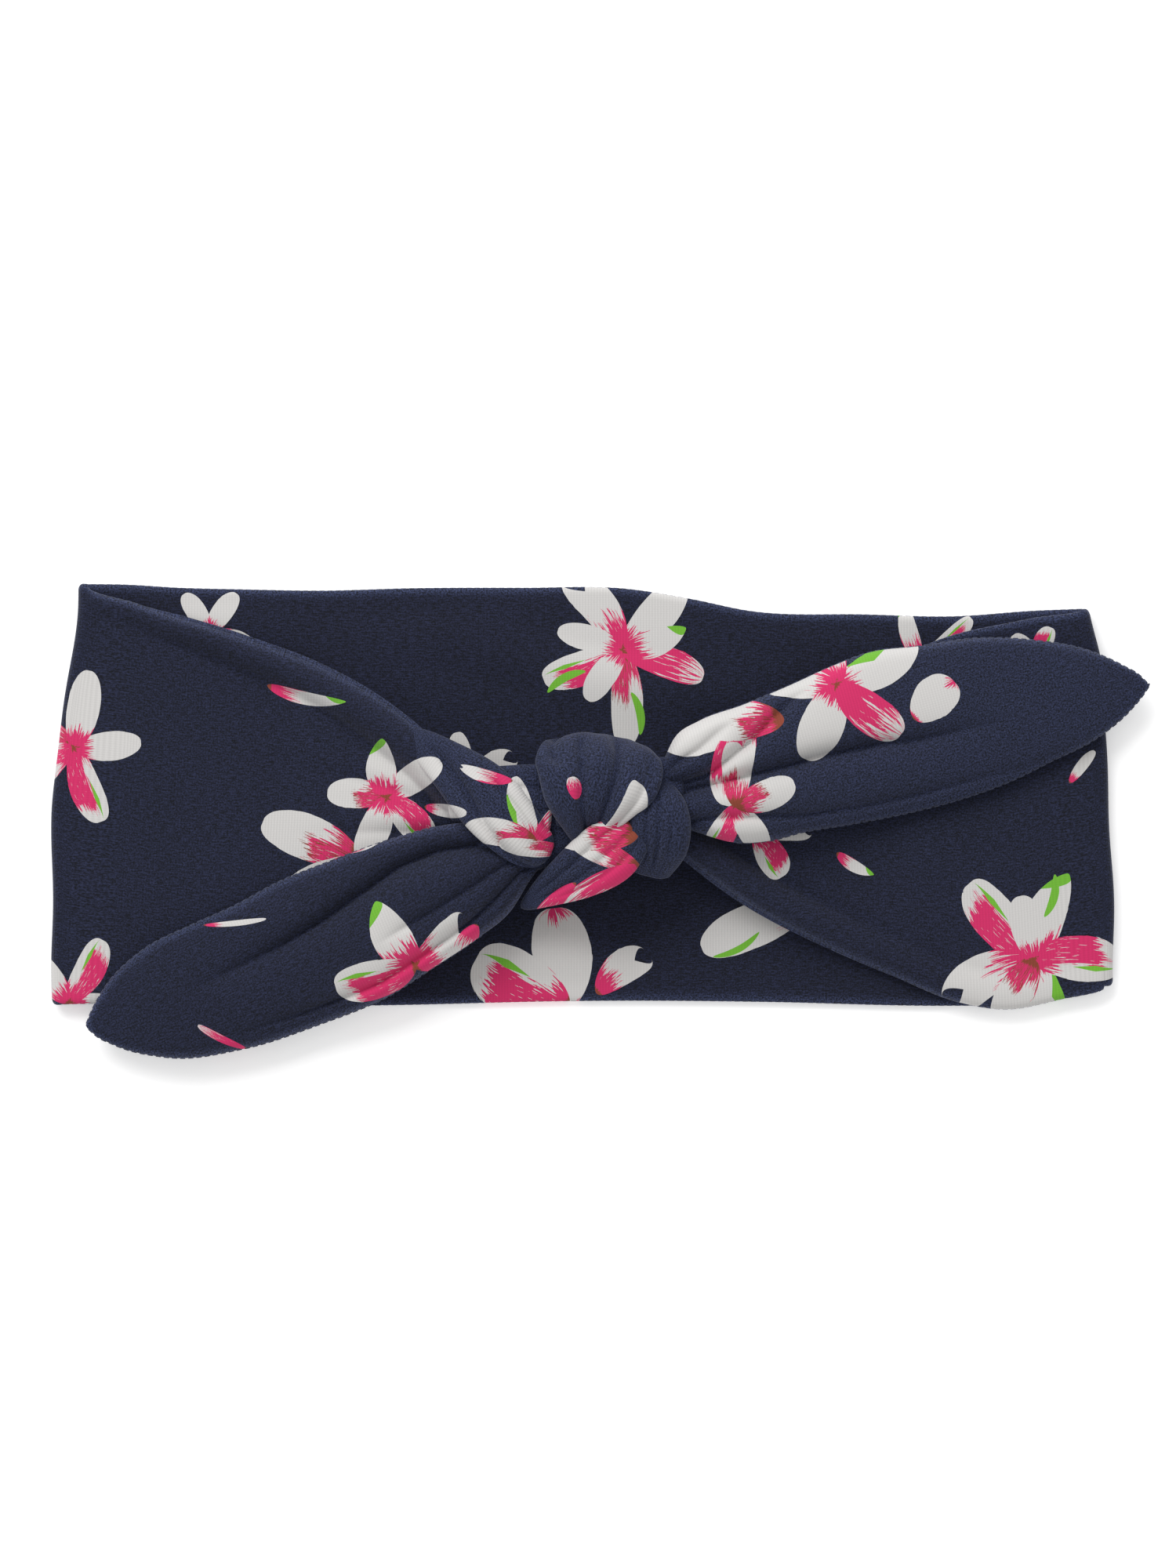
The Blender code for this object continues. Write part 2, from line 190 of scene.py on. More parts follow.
def add(kind, *sockets, out=0, **settings):
    """A node with these settings, fed by values or by other nodes' outputs. A kind such as "Math multiply" is
    the node and its operation."""
    kind, _, operation = kind.partition(" ")
    made = tree.nodes.new("ShaderNode" + kind)
    if operation:
        made.operation = operation.upper()
    for name, value in settings.items():
        setattr(made, name, value)
    for socket, given in zip(made.inputs, sockets):
        if isinstance(given, bpy.types.NodeSocket):
            tree.links.new(given, socket)
        elif given is not None:
            socket.default_value = given
    return made.outputs[out]


UNUSED = [None] * 5  # a colour mix leaves these sockets alone

# Printed cotton jersey: matte, with a faint rib, a soft halo of fibre and a heathered navy ground. The inks
# are flat and sharp-edged, drawn as dry brush strokes.
jersey = bpy.data.materials.new("printed cotton jersey, knitted and brushed")
jersey.use_nodes = True
tree = jersey.node_tree
surface = tree.nodes["Principled BSDF"]
thread_way = add("Attribute", attribute_name="cloth", out=1)
cross = add("SeparateXYZ", thread_way)
courses = cross.node.outputs[1]
space = add("TexCoord", out=3)

streaks = add("TexNoise", add("Mapping", thread_way, None, None, (0.45, 2.3, 0)), None, 1.4, 2.0, 0.6)
specks = add("TexNoise", add("Mapping", thread_way, None, None, (1.0, 1.0, 0)), None, 2.7, 3.0, 0.8)
heather = add("Math add", add("Math multiply", streaks, 0.38), add("Math multiply", specks, 0.62))
patches = add("TexNoise", space, None, 60.0, 3.0, 0.55)
ground = add("ValToRGB", heather)
ramp = ground.node.color_ramp
ramp.elements[0].position, ramp.elements[0].color = 0.44, linear("#0A0C15")
ramp.elements[1].position, ramp.elements[1].color = 0.60, linear("#252A44")
dyed = add("VectorMath multiply", ground, add("MapRange", patches, 0.3, 0.7, 0.90, 1.10))
# where the nap is raised its fibres show bluer and paler: worn, raised fibre along the edges, and painted
# light over the rest of the front, the knot and the tails, which are made paler where they rise into the
# light
fibre = add("MapRange", specks, 0.42, 0.66, 0.0, 0.85)
painted_light_and_nap = add("Math multiply", cross.node.outputs[2], fibre)
# painted light and worn nap: mixes the paler, bluer fibre colour into the ground
colour = add("Mix", painted_light_and_nap, *UNUSED, dyed, linear("#454F73"), data_type="RGBA", out=2)

white, pink, green, brown = (linear(c) for c in ("#C9C7C5", "#CB2D63", "#6DAE35", "#84402F"))
for layer in range(LAYERS):
    spot = add("SeparateXYZ", add("Attribute", attribute_name=f"petal_{layer}", out=1))
    p, q, notch = (spot.node.outputs[k] for k in range(3))
    form_at = add("Attribute", attribute_name=f"petal_{layer}_form")
    form = add("SeparateColor", form_at)
    half, blunt, bend = (form.node.outputs[k] for k in range(3))
    reach = form_at.node.outputs[3]
    ink_at = add("Attribute", attribute_name=f"petal_{layer}_ink")
    ink = add("SeparateColor", ink_at)
    lobe, size, green_code = (ink.node.outputs[k] for k in range(3))
    browned = ink_at.node.outputs[3]
    # the outline: r is 0 along the petal's middle and 1 at its edge
    left_over = add("Math subtract", 1.0, p, use_clamp=True)
    inner = add("Math maximum", p, 0.0001)
    arch = add("Math multiply", add("Math multiply", inner, left_over), 4.0)
    q = add("Math subtract", q, add("Math multiply", arch, bend))
    width = add("Math multiply", add("Math power", inner, NARROW), add("Math power", left_over, blunt))
    width = add("Math maximum", add("Math multiply", width, half), 0.0001)
    r = add("Math divide", q, width)
    out_by = add("Math absolute", r)
    # dry brush strokes run from the base
    stroke = add("CombineXYZ", add("Math multiply", r, 5.0), add("Math multiply", p, 1.3), green_code)
    strokes = add("TexNoise", stroke, None, 2.2, 2.0, 0.7)
    fine = add("TexNoise", stroke, None, 5.5, 1.0, 0.5)
    notched = add("Math multiply", add("Math multiply", add("Math subtract", 1.0, out_by), notch), 0.22)
    end = add("Math add", p, notched)
    wobble = add("Math add", add("Math multiply", strokes, 0.16), 0.92)
    inside = add("Math less_than", out_by, wobble)
    inside = add("Math multiply", inside, add("Math greater_than", p, 0.0))
    inside = add("Math multiply", inside, add("Math less_than", end, 0.996))
    # pink from the base, and a pink lobe with white strokes in it
    spread = add("Math multiply", add("Math subtract", add("Math multiply", strokes, 2.4), 0.35), reach)
    based = add("Math less_than", p, spread)
    over = add("Math add", r, add("Math multiply", add("Math subtract", strokes, 0.5), 0.7))
    over = add("Math greater_than", add("Math multiply", over, lobe), -0.07)
    lobe_end = add("Math add", size, add("Math multiply", fine, 0.45))
    up_lobe = add("Math less_than", add("Math add", p, add("Math multiply", out_by, 0.12)), lobe_end)
    lobed = add("Math multiply", add("Math multiply", over, up_lobe), add("Math greater_than", size, 0.05))
    bare = add("Math less_than", fine, add("Math add", add("Math multiply", p, 0.25), 0.57))
    inked = add("Math maximum", based, add("Math multiply", lobed, bare))
    petal = add("Mix", inked, *UNUSED, white, pink, data_type="RGBA", out=2)
    # brown in the throat, and along the strokes of a browned petal
    throat = add("Math greater_than", add("Math multiply", add("Math multiply", strokes, 0.26), browned), p)
    petal = add("Mix", throat, *UNUSED, petal, brown, data_type="RGBA", out=2)
    streak = add("Math greater_than", add("Math multiply", fine, browned), 0.57)
    streak = add("Math multiply", streak, inked)
    petal = add("Mix", streak, *UNUSED, petal, brown, data_type="RGBA", out=2)
    # green: a hooked tip, a crescent round the lobe, one edge, or all of it. The code's fraction, 0 to 0.5,
    # only varies the strokes
    tip = add("Math greater_than", add("Math add", p, add("Math multiply", r, 0.10)), 0.84)
    tip = add("Math multiply", tip, add("Math compare", green_code, 1.25, 0.30))
    beside_lobe = add("Math add", r, add("Math multiply", lobe, 1.9))
    off_lobe = add("Math absolute", add("Math subtract", p, 0.72))
    thin = add("Math multiply", add("Math subtract", add("Math subtract", 1.0, off_lobe), 0.74), 0.5)
    crescent = add("Math compare", beside_lobe, 0.0, thin)
    crescent = add("Math multiply", crescent, add("Math greater_than", thin, 0.0))
    crescent = add("Math multiply", crescent, add("Math compare", green_code, 2.25, 0.30))
    off_middle = add("Math absolute", add("Math subtract", p, 0.5))
    edge = add("Math greater_than", r, add("Math add", 0.45, add("Math multiply", off_middle, 1.6)))
    edge = add("Math multiply", edge, add("Math compare", p, 0.5, 0.28))
    edge = add("Math multiply", edge, add("Math compare", green_code, 3.25, 0.30))
    leaf = add("Math compare", green_code, 5.25, 0.30)
    greened = add("Math maximum", add("Math maximum", add("Math maximum", tip, crescent), edge), leaf)
    petal = add("Mix", greened, *UNUSED, petal, green, data_type="RGBA", out=2)
    # a pink far end
    far_edge = add("Math subtract", 1.16, add("Math multiply", strokes, 0.6))
    far = add("Math greater_than", add("Math add", p, add("Math multiply", out_by, -0.18)), far_edge)
    far = add("Math multiply", far, add("Math compare", green_code, 4.25, 0.30))
    petal = add("Mix", far, *UNUSED, petal, pink, data_type="RGBA", out=2)
    colour = add("Mix", inside, *UNUSED, colour, petal, data_type="RGBA", out=2)

ribs = add("Math sine", add("Math multiply", cross, 2 * math.pi / WALE))
rows_of_loops = add("Math sine", add("Math multiply", courses, 2 * math.pi / COURSE))
knit = add("Math add", ribs, add("Math multiply", rows_of_loops, 0.35))
shade = add("MapRange", knit, -1.35, 1.35, 0.93, 1.03)
final = add("VectorMath multiply", colour, shade)
tree.links.new(final, surface.inputs["Base Color"])
bumped = add("Bump", 0.30, 0.00006)
tree.links.new(add("Math add", knit, add("Math multiply", specks, 0.8)), bumped.node.inputs["Height"])
tree.links.new(bumped, surface.inputs["Normal"])
surface.inputs["Roughness"].default_value = 0.88
surface.inputs["Specular IOR Level"].default_value = 0.25
surface.inputs["Sheen Weight"].default_value = 0.22
surface.inputs["Sheen Roughness"].default_value = 0.45
surface.inputs["Sheen Tint"].default_value = linear("#C8CDE0")

# The seams' thread is spun polyester in the band's navy, slightly glossy.
thread = bpy.data.materials.new("spun polyester sewing thread")
thread.use_nodes = True
tree = thread.node_tree
surface = tree.nodes["Principled BSDF"]
twist = add("TexNoise", add("TexCoord", out=3), None, 2500.0, 2.0, 0.5)
tone = add("ValToRGB", twist)
tone.node.color_ramp.elements[0].color = linear("#1E2338")
tone.node.color_ramp.elements[1].color = linear("#4A5270")
tree.links.new(tone, surface.inputs["Base Color"])
surface.inputs["Roughness"].default_value = 0.55
surface.inputs["Sheen Weight"].default_value = 0.1


def lay_cloth(name, points, cloth, petals):
    """One ply: a grid of points on its outer side, in millimetres. cloth is where each lies on the knit, in
    millimetres, and how pale its nap is, from 0 to 1: worn nap at the edges and painted light elsewhere."""
    rows, columns = points.shape[:2]
    mesh = bpy.data.meshes.new(name)
    index = np.arange(rows * columns).reshape(rows, columns)
    quads = np.stack([index[:-1, :-1], index[:-1, 1:], index[1:, 1:], index[1:, :-1]], -1).reshape(-1, 4)
    mesh.from_pydata((points.reshape(-1, 3) * MM).tolist(), [], quads.tolist())
    mesh.attributes.new("cloth", "FLOAT_VECTOR", "POINT").data.foreach_set("vector", cloth.ravel())
    print_petals(mesh, petals)
    mesh.materials.append(jersey)
    mesh.polygons.foreach_set("use_smooth", [True] * len(mesh.polygons))
    piece = bpy.data.objects.new(name, mesh)
    bpy.context.scene.collection.objects.link(piece)
    for other in bpy.context.selected_objects:
        other.select_set(False)
    bpy.context.view_layer.objects.active = piece
    piece.select_set(True)
    ply = piece.modifiers.new("ply", "SOLIDIFY")
    ply.thickness = PLY * MM
    ply.offset = -1
    bpy.ops.object.modifier_apply(modifier=ply.name)
    return piece


def turned(depth, round_over=1.4):
    """How far a ply has rolled over towards the other, at this depth in from the sewn edge: 1 at the edge."""
    left = 1 - np.clip(np.asarray(depth, float) / round_over, 0, 1)
    return 1 - np.sqrt(np.maximum(0, 1 - left**2))


def nap_and_light_level(edge, inside=0.0):
    """How pale the nap is: most along the edges, which rub as the band is worn. inside is painted light, a
    paler level over the rest of a piece that stands up into the light.
    """
    return np.maximum(inside, 1 - smooth(0.3, 2.2, edge))


LEFT_FOLD, RIGHT_FOLD = -114.4, 112.8  # the outermost lines of the two side folds
CUT_WIDTH = 90  # the band's flat width
HALF_WIDTH = CUT_WIDTH / 2
TOP_LINE = [
    (-115, 45), (-106, 44.9), (-93, 44.2), (-80, 43.9), (-60, 43.6), (-40, 44.1), (-14, 44.2), (10, 44.0),
    (25, 41.8), (38, 39.3), (65, 38.5), (85, 38.1), (104, 39.3), (115, 39.7),
]


def fold_x(side, y):
    """Each side fold leans in towards its top corner."""
    wave = 0.2 * np.sin(y * 0.21)
    if side < 0:
        return LEFT_FOLD + 5.6 * smooth(-5, 46, y) + wave
    return RIGHT_FOLD - 2.0 * smooth(-30, 25, y) - 3.6 * smooth(24, 42, y) + wave


def top_y(x):
    """The back's upper edge, which the knot has drawn down on the right."""
    return through(TOP_LINE, x)[..., 0]


def bottom_y(x):
    """Its lower edge: nearly level, and higher at the right fold."""
    drawn_in = 0.5 * smooth(-60, 0, x) * (1 - smooth(40, 80, x))
    return -HALF_WIDTH + 4 * smooth(88, 113, x) + 0.3 * np.sin(x * 0.05 + 1) + drawn_in


BACK_PETALS = [
    (7.2, 30.7, -9.3, 24.6, 3.7, "lobed"),
    (7.8, 30.3, 8.2, 9.8, -3.4, "brown"),
    (8.3, 30.7, 25.0, 25.0, 3.4, "pink"),
    (8.2, 31.3, 21.1, 45.7, -4.0, "plain"),
    (7.4, 31.4, -3.9, 46.3, -4.0, "notched"),
    (7.4, 30.4, 0.1, 20.1, -2.9, "plain"),
    (8.3, 31.1, 21.3, 35.6, -3.0, "tipped"),
    (7.2, 31.1, -6.2, 35.1, -2.8, "plain"),
    (-0.7, 26.1, -8.4, 21.8, -0.9, "leaf"),
    (9.7, 21.3, 11.5, 12.7, 0.9, "leaf"),
    (-24.8, 2.4, -15.3, 8.1, 2.7, "notched"),
    (-25.4, 2.6, -27.8, 13.3, -2.5, "brown"),
    (-25.9, 2.1, -36.8, 4.0, 2.7, "tail"),
    (-25.5, 1.5, -29.0, -9.0, -3.0, "lobed"),
    (-80.3, 34.4, -71.5, 32.0, 2.4, "brown"),
    (-80.5, 35.1, -74.9, 43.0, 2.3, "plain"),
    (-81.2, 35.1, -86.2, 42.9, -2.2, "plain"),
    (-81.5, 34.4, -91.5, 31.8, 2.4, "lobed"),
    (-4.6, -45.0, -7.0, -24.3, -6.3, "tail"),
    (-5.0, -45.3, -23.7, -35.1, 7.2, "lobed"),
    (2.7, -42.1, 13.2, -34.3, 3.7, "notched"),
    (71.9, 28.9, 82.4, 37.7, -2.0, "lobed"),
    (71.3, 29.1, 67.9, 41.9, 2.0, "tipped"),
    (70.9, 28.4, 57.8, 27.0, -2.1, "pink"),
    (46.1, -24.4, 24.6, -33.1, -4.8, "plain"),
    (36.4, -29.8, 27.1, -34.8, 0.7, "leaf"),
]


SEAM_MEET = PLY + PLY_GAP / 2  # how far each ply turns over at an edge to meet the other
FOLD_TURN = np.linspace(math.pi / 2, 0, 8)[:-1]  # steps from a fold's outermost line to where it lies flat


def rows_between(low, high, count=76):
    """Points from one edge to the other, close together where the ply turns over, along the last axis."""
    rim = np.array([0, 0.05, 0.2, 0.45, 0.8, 1.2, 1.7])
    room = np.minimum(1, (high - low) / (2.4 * rim[-1]))[..., None]
    inner = np.linspace(0, 1, count)[1:-1]
    low, high = low[..., None], high[..., None]
    near, far = low + rim * room, high - rim[::-1] * room
    return np.concatenate([near, near[..., -1:] + (far[..., :1] - near[..., -1:]) * inner, far], -1)


def back_ply(name, nodes, radius, facing):
    """facing is -1 for the outer cloth, whose outer side is down, and 1 for the lining. radius is from the
    middle of the stack to the ply's outer side."""
    columns = 221
    share = np.concatenate([np.zeros(len(FOLD_TURN)), np.linspace(0, 1, columns), np.ones(len(FOLD_TURN))])
    angle = np.concatenate([FOLD_TURN, np.zeros(columns), FOLD_TURN[::-1]])
    side = np.where(share < 0.5, -1, 1)
    middle = share * 2 * -LEFT_FOLD + LEFT_FOLD
    y = rows_between(bottom_y(middle), top_y(middle)).T
    left, right = fold_x(-1, y) + STACK / 2, fold_x(1, y) - STACK / 2
    edge = np.minimum(y - y[:1], y[-1:] - y)
    reach = radius + facing * SEAM_MEET * turned(edge)
    if facing > 0:  # the lining lies in soft ripples where the knot has drawn it in
        x = left + (right - left) * share
        ripple = 0.5 * np.sin(x * 0.10 + 1.1 * np.sin(y * 0.07)) * np.sin(y * 0.09 + 0.4)
        ripple += 0.45 * np.sin(y * 0.30 + 0.06 * x) * np.exp(-(((x - 5) / 60) ** 2))
        calm = smooth(2, 9, edge) * smooth(4, 26, x - LEFT_FOLD) * smooth(4, 26, RIGHT_FOLD - x)
        reach = reach - np.maximum(ripple + 0.2, 0) * calm
    x = left + (right - left) * share + side * reach * np.sin(angle)
    points = np.stack([x, y, STACK / 2 - reach * np.cos(angle)], -1)
    cloth = np.stack([x + side * 2 * angle, y, nap_and_light_level(edge)], -1)
    if facing < 0:
        points, cloth = points[::-1], cloth[::-1]
    piece = lay_cloth(name, points, cloth, BACK_PETALS)
    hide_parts(*nodes)
    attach(piece, "back_band")
    return points


STITCH = 1.15  # length of one visible stitch
STITCH_STEP = 1.75  # from one stitch to the next
THREAD = 0.10  # half the thread's thickness
SEAM_OUT = 0.06  # how far outside the turned edge the stitches lie

bpy.ops.object.select_all(action="DESELECT")
bpy.ops.mesh.primitive_cylinder_add(vertices=6, radius=THREAD * MM, depth=STITCH * MM)
one_stitch = bpy.context.active_object
bpy.ops.object.mode_set(mode="EDIT")
bm = bmesh.from_edit_mesh(one_stitch.data)
for face in bm.faces:
    face.select = abs(face.normal.z) > 0.9
bmesh.update_edit_mesh(one_stitch.data)
bpy.ops.mesh.bevel(offset=0.5 * THREAD * MM, segments=2)  # its ends dive into the cloth
bpy.ops.object.mode_set(mode="OBJECT")
one_stitch.data.materials.append(thread)
one_stitch.data.polygons.foreach_set("use_smooth", [True] * len(one_stitch.data.polygons))


def stitch(name, routes, nodes):
    """A row of short stitches along each route, which is points in millimetres. All are one piece."""
    bpy.ops.object.select_all(action="DESELECT")
    for route in routes:
        route = np.array(route)
        walked = np.concatenate([[0], np.cumsum(np.linalg.norm(np.diff(route, axis=0), axis=1))])
        for start in np.arange(0.6, walked[-1] - STITCH, STITCH_STEP):
            near, middle, far = (
                Vector([np.interp(start + share * STITCH, walked, route[:, axis]) for axis in range(3)])
                for share in (0, 0.5, 1)
            )
            copy = bpy.data.objects.new(name, one_stitch.data.copy())
            bpy.context.scene.collection.objects.link(copy)
            turn = (far - near).to_track_quat("Z", "X").to_matrix().to_4x4()
            copy.matrix_world = Matrix.Translation(middle * MM) @ turn
            copy.select_set(True)
            bpy.context.view_layer.objects.active = copy
    bpy.ops.object.join()
    piece = bpy.context.active_object
    bpy.ops.object.transform_apply(location=True, rotation=True, scale=True)
    piece.name = name
    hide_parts(*nodes)
    return piece


def edge_route(points, row, out):
    """The seam's line along the first or last row of a cloth, moved out of it by a little."""
    line = points[row].copy()
    ahead = np.gradient(line, axis=0)
    beside = np.stack([-ahead[:, 1], ahead[:, 0], np.zeros(len(line))], -1)
    return line + beside / np.maximum(np.linalg.norm(beside, axis=1), 1e-9)[:, None] * out


back_ply(
    "back_outer_cloth", ("back_outer", "left_fold_outer", "right_fold_outer"),
    STACK / 2, -1,
)
lining_points = back_ply(
    "back_lining_cloth", ("back_lining", "left_fold_lining", "right_fold_lining"),
    LOOP_GAP / 2, 1,
)
back_seam = stitch(
    "back_edge_stitches",
    [edge_route(lining_points, -1, -SEAM_OUT), edge_route(lining_points, 0, SEAM_OUT)],
    [f"{place}_{edge}_seam" for place in ("back", "left_fold", "right_fold") for edge in ("top", "bottom")],
)
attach(back_seam, "back_band")

# ---------------------------------------------------------------------------------------------------------
# The two halves of the front. Each is the same doubled cloth, folded over at the side and drawn in towards
# the knot, so its free edge curls into a soft roll and its middle gathers.

STRIP_RISE = 4.8  # how much higher a half is at the knot than at its fold
RISE_RUN = 44  # how far from the knot it starts to rise
LEFT_MOUTH, RIGHT_MOUTH = -27, 21.5  # where the halves go into the knot
LEFT_FRONT_PETALS = [
    (-110.1, 10.2, -124.3, 16.3, 3.4, "brown"),
    (-110.0, 9.6, -120.4, 0.5, -3.5, "notched"),
    (-109.3, 9.4, -103.7, -5.9, -3.4, "lobed"),
    (-108.9, 10.0, -95.2, 11.1, -3.1, "plain"),
    (-109.4, 10.6, -106.3, 26.5, -3.5, "plain"),
    (-110.1, 9.9, -120.7, 7.6, 2.5, "lobed"),
    (-49.2, -14.1, -69.3, -5.9, 4.8, "brown"),
    (-49.2, -14.6, -65.6, -23.5, 5.0, "lobed"),
    (-110.2, -44.6, -95.5, -46.7, -3.3, "plain"),
    (-110.5, -43.9, -103.4, -31.1, -3.3, "lobed"),
    (-111.2, -44.0, -121.0, -33.2, -3.1, "plain"),
    (-67.3, 23.1, -51.2, 19.7, -1.4, "tipped"),
    (-43.2, -0.6, -55.4, 0.3, 3.2, "brown"),
    (-42.9, -1.2, -48.2, -14.2, 3.4, "plain"),
    (-42.2, -1.1, -33.1, -10.8, 3.5, "lobed"),
    (-42.1, -0.3, -30.9, 7.0, 3.1, "plain"),
    (-42.7, -0.0, -43.6, 11.9, 3.2, "tipped"),
    (-34.0, -2.7, -25.4, -4.0, -1.4, "plain"),
]
RIGHT_FRONT_PETALS = [
    (95.9, -34.6, 103.0, -16.9, 4.3, "tipped"),
    (95.3, -34.7, 81.7, -19.0, 4.8, "lobed"),
    (95.1, -35.5, 76.7, -45.0, -4.8, "notched"),
    (95.8, -35.8, 101.1, -52.5, 4.7, "edged"),
    (96.3, -35.2, 114.2, -36.2, 4.9, "lobed"),
    (95.5, -34.6, 92.6, -21.7, -3.7, "plain"),
    (95.3, -35.7, 87.7, -47.9, -3.9, "brown"),
    (98.0, -25.7, 100.1, -17.1, -0.9, "leaf"),
    (66.6, -44.6, 50.0, -45.2, -2.3, "pinkish"),
    (36.4, -8.9, 41.7, -17.7, 3.3, "lobed"),
    (36.7, -8.3, 48.0, -7.2, 3.2, "notched"),
    (53.9, -12.8, 61.4, -17.2, -1.3, "tipped"),
    (17.3, -17.5, 23.9, -26.4, 1.9, "pinkish"),
    (96.1, 28.1, 99.2, 35.7, 2.1, "lobed"),
    (95.5, 28.0, 91.2, 34.1, -2.2, "plain"),
    (103.5, 2.8, 108.6, 9.3, 1.2, "plain"),
    (89.4, 5.7, 97.8, 12.7, 1.0, "pink"),
]
LEFT_UPPER = [
    (-105.5, 45), (-101.7, 43.1), (-73.6, 33.7), (-56.8, 27.4), (-43.3, 19.8), (-35.8, 13.9), (-27.4, 4.4),
    (-23.0, -1.5),
]
LEFT_LOWER = [(-111, -45), (-100, -44.6), (-84, -43), (-62, -36), (-42, -26.5), (-30, -20), (-21.0, -15.5)]
RIGHT_LOWER = [
    (111.0, -41), (100, -44.2), (90, -46), (79.3, -44.4), (65.9, -39), (49, -31.4), (32.3, -22.2),
    (21.3, -13.9), (17, -10.5),
]
RIGHT_UPPER = [(105, 39.5), (91, 36.8), (78.5, 34.1), (66.7, 29.6), (50, 23), (35, 14), (25, 8.5), (19, 5.5)]


def by_length(points):
    """The same points with each one's share of the whole length put first."""
    points = np.array(points, float)
    steps = np.hypot(*(points[1:] - points[:-1]).T[:2])
    walked = np.concatenate([[0], np.cumsum(steps)])
    return np.column_stack([walked / walked[-1], points])


def front_ply(name, kind, side, edges, roll, gathers, facing, petals):
    """facing is 1 for the outer cloth, which is on top, and -1 for the lining under it."""
    columns = 97
    share = np.concatenate([np.zeros(len(FOLD_TURN)), np.linspace(0, 1, columns)])
    angle = np.concatenate([FOLD_TURN, np.zeros(columns)])[None, :]
    low, high = (through(by_length(edge), share) for edge in edges)
    span = np.linalg.norm(high - low, axis=1)
    depth = rows_between(np.zeros(len(span)), span).T
    v = depth / span
    spot = low[None] + (high - low)[None] * v[..., None]
    edge = np.minimum(depth, span - depth)
    # the start follows the fold exactly
    near = (1 - smooth(0, 0.10, share))[None, :]
    x = spot[..., 0] + near * (fold_x(side, spot[..., 1]) - side * STACK / 2 - spot[..., 0])
    y = spot[..., 1]
    mouth = np.abs(x - (LEFT_MOUTH if side < 0 else RIGHT_MOUTH))
    height = STACK / 2 + STRIP_RISE * (1 - smooth(0, RISE_RUN, mouth))
    # the roll along the free edge, with the crease behind it
    from_edge = (span - depth) if side < 0 else depth
    wide = np.interp(share, *zip(*roll["width"]))
    tall = np.interp(share, *zip(*roll["height"]))
    inside = np.clip(from_edge / wide, 0, 1)
    height = height + tall * np.sin(math.pi * inside**0.85) ** 0.75
    height = height - roll["crease"] * tall * np.exp(-((from_edge - wide) / (0.16 * wide + 0.6)) ** 2)
    # each gather is a sharp valley with a soft ridge beside it
    for across, start, deep, lean in gathers:
        off = (v - across - lean * (1 - share)) * span
        height = height - deep * smooth(start, 1, share) * np.exp(-np.abs(off) / 1.6)
        height = height + 0.6 * deep * smooth(start, 1, share) * np.exp(-(((off - 3.2) / 2.2) ** 2))
    radius = STACK / 2 if facing > 0 else LOOP_GAP / 2
    lift = height - STACK / 2
    reach = radius - facing * SEAM_MEET * turned(edge)
    x = x + side * reach * np.sin(angle)
    z = STACK / 2 + reach * np.cos(angle) + lift * np.cos(angle)
    points = np.stack([x, y, z], -1)
    walked = np.concatenate([[0], np.cumsum(np.linalg.norm(np.diff(spot.mean(0), axis=0), axis=1))])
    # the third value: worn nap along the edges, and a little painted light over the rest
    cloth = np.stack([-side * 2 * angle + walked[None, :] + 0 * v, depth - span / 2, nap_and_light_level(edge, 0.1)], -1)
    if facing * side > 0:
        points, cloth = points[::-1], cloth[::-1]
    piece = lay_cloth(f"{name}_front_{kind}_cloth", points, cloth, petals)
    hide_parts(f"{name}_strip_{kind}")
    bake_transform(piece)
    return points


# The roll along each half's free edge: its width and height at shares of the way from fold to knot, and how
# deep the crease behind it is. A gather is its place across, the share of the way where it starts, its depth
# and its lean.
LEFT_ROLL = {
    "width": ((0, 4.0), (0.12, 5.0), (0.45, 8.0), (0.7, 11.0), (1, 12.0)),
    "height": ((0, 0.0), (0.05, 0.6), (0.2, 2.4), (0.6, 3.6), (0.85, 4.0), (1, 3.6)),
    "crease": 0.16,
}
RIGHT_ROLL = {
    "width": ((0, 5.0), (0.3, 8.0), (0.7, 9.0), (1, 9.0)),
    "height": ((0, 0.0), (0.1, 0.3), (0.35, 1.4), (0.7, 3.2), (1, 3.4)),
    "crease": 0.16,
}
LEFT_GATHERS = [(0.20, 0.55, 1.0, -0.05), (0.42, 0.45, 1.3, 0.03), (0.60, 0.35, 1.0, 0.10)]
RIGHT_GATHERS = [(0.80, 0.5, 1.0, 0.02), (0.58, 0.42, 1.3, 0.0), (0.40, 0.35, 1.0, -0.06)]

for side, name, edges, roll, gathers, petals in (
    (-1, "left", (LEFT_LOWER, LEFT_UPPER), LEFT_ROLL, LEFT_GATHERS, LEFT_FRONT_PETALS),
    (1, "right", (RIGHT_LOWER, RIGHT_UPPER), RIGHT_ROLL, RIGHT_GATHERS, RIGHT_FRONT_PETALS),
):
    top = front_ply(name, "outer", side, edges, roll, gathers, 1, petals)
    front_ply(name, "lining", side, edges, roll, gathers, -1, petals)
    seam = stitch(
        f"{name}_front_edge_stitches",
        [edge_route(top, -1, -SEAM_OUT), edge_route(top, 0, SEAM_OUT)],
        [f"{name}_strip_top_seam", f"{name}_strip_bottom_seam"],
    )
    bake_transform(seam)

# ---------------------------------------------------------------------------------------------------------
# The knot. The doubled jersey is tied once, so seven gathered strands of it lie over and through each other.
# Each is made as the rounded bundle that shows, with the creases that the pull gives it. Only the pull holds
# them.

